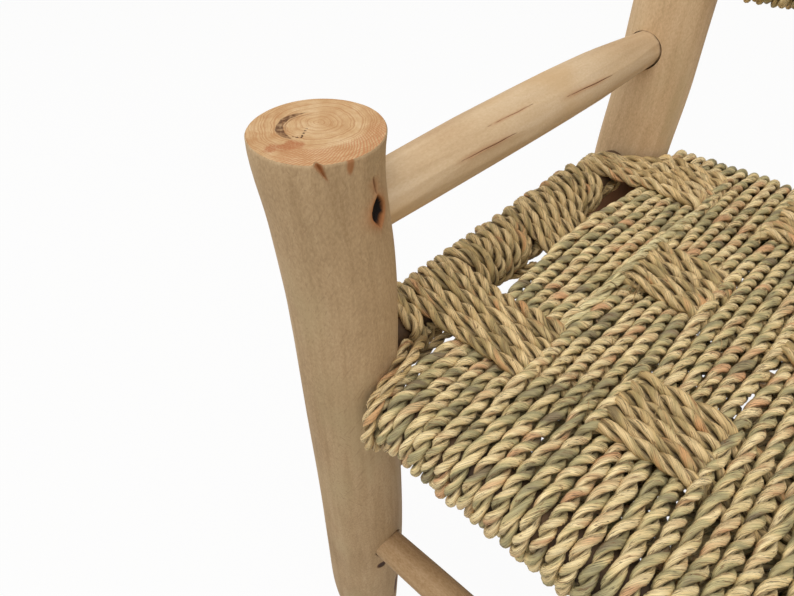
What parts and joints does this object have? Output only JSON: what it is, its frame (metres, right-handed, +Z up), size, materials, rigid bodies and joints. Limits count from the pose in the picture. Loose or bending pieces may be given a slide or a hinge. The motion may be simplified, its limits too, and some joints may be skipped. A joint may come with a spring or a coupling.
{
  "type": "armchair",
  "caption": "Rustic armchair of peeled round poles with stick armrests and stretchers, and a seat and backrest woven in bands from thick twisted palm rope.",
  "frame": {"origin": "on the floor, under the middle of the whole chair's bounding box", "axes": "+Z up; -Y the way the chair faces; +X to the right of a person who faces the chair"},
  "size_m": [0.6358, 0.5283, 0.88],
  "materials": {
    "post_wood": "peeled pole, dry and unfinished, matte",
    "arm_wood": "knife-peeled branch, worn smooth, matte",
    "stretcher_wood": "peeled stick, dry and unfinished, matte",
    "rail_wood": "peeled pole under the rope, rough",
    "warp_rope": "two-ply rope twisted from palm leaf, straw and olive",
    "weft_rope": "two-ply rope twisted from palm leaf, grey brown"
  },
  "bodies": {
    "root": {"arm_left": "arm_wood", "arm_right": "arm_wood", "back_rail_lower": "rail_wood", "back_rail_upper": "rail_wood", "back_warp_front_1": "warp_rope", "back_warp_front_2": "warp_rope", "back_warp_front_3": "warp_rope", "back_warp_front_4": "warp_rope", "back_warp_front_5": "warp_rope", "back_warp_front_6": "warp_rope", "back_warp_front_7": "warp_rope", "back_warp_rear_1": "warp_rope", "back_warp_rear_2": "warp_rope", "back_warp_rear_3": "warp_rope", "back_warp_rear_4": "warp_rope", "back_warp_rear_5": "warp_rope", "back_warp_rear_6": "warp_rope", "back_warp_rear_7": "warp_rope", "back_warp_turns_lower": "warp_rope", "back_warp_turns_upper": "warp_rope", "back_weft_lower": "weft_rope", "back_weft_turns_left": "weft_rope", "back_weft_turns_right": "weft_rope", "back_weft_upper": "weft_rope", "post_front_left": "post_wood", "post_front_right": "post_wood", "post_rear_left": "post_wood", "post_rear_right": "post_wood", "seat_rail_front": "rail_wood", "seat_rail_left": "rail_wood", "seat_rail_rear": "rail_wood", "seat_rail_right": "rail_wood", "seat_warp_top_1": "warp_rope", "seat_warp_top_2": "warp_rope", "seat_warp_top_3": "warp_rope", "seat_warp_top_4": "warp_rope", "seat_warp_top_5": "warp_rope", "seat_warp_top_6": "warp_rope", "seat_warp_top_7": "warp_rope", "seat_warp_turns_front": "warp_rope", "seat_warp_turns_rear": "warp_rope", "seat_warp_under_1": "warp_rope", "seat_warp_under_2": "warp_rope", "seat_warp_under_3": "warp_rope", "seat_warp_under_4": "warp_rope", "seat_warp_under_5": "warp_rope", "seat_warp_under_6": "warp_rope", "seat_warp_under_7": "warp_rope", "seat_weft_front": "weft_rope", "seat_weft_middle": "weft_rope", "seat_weft_rear": "weft_rope", "seat_weft_turns_left": "weft_rope", "seat_weft_turns_right": "weft_rope", "seat_windings_left": "weft_rope", "seat_windings_right": "weft_rope", "stretcher_front": "stretcher_wood", "stretcher_left": "stretcher_wood", "stretcher_rear": "stretcher_wood", "stretcher_right": "stretcher_wood"}
  },
  "joints": []
}
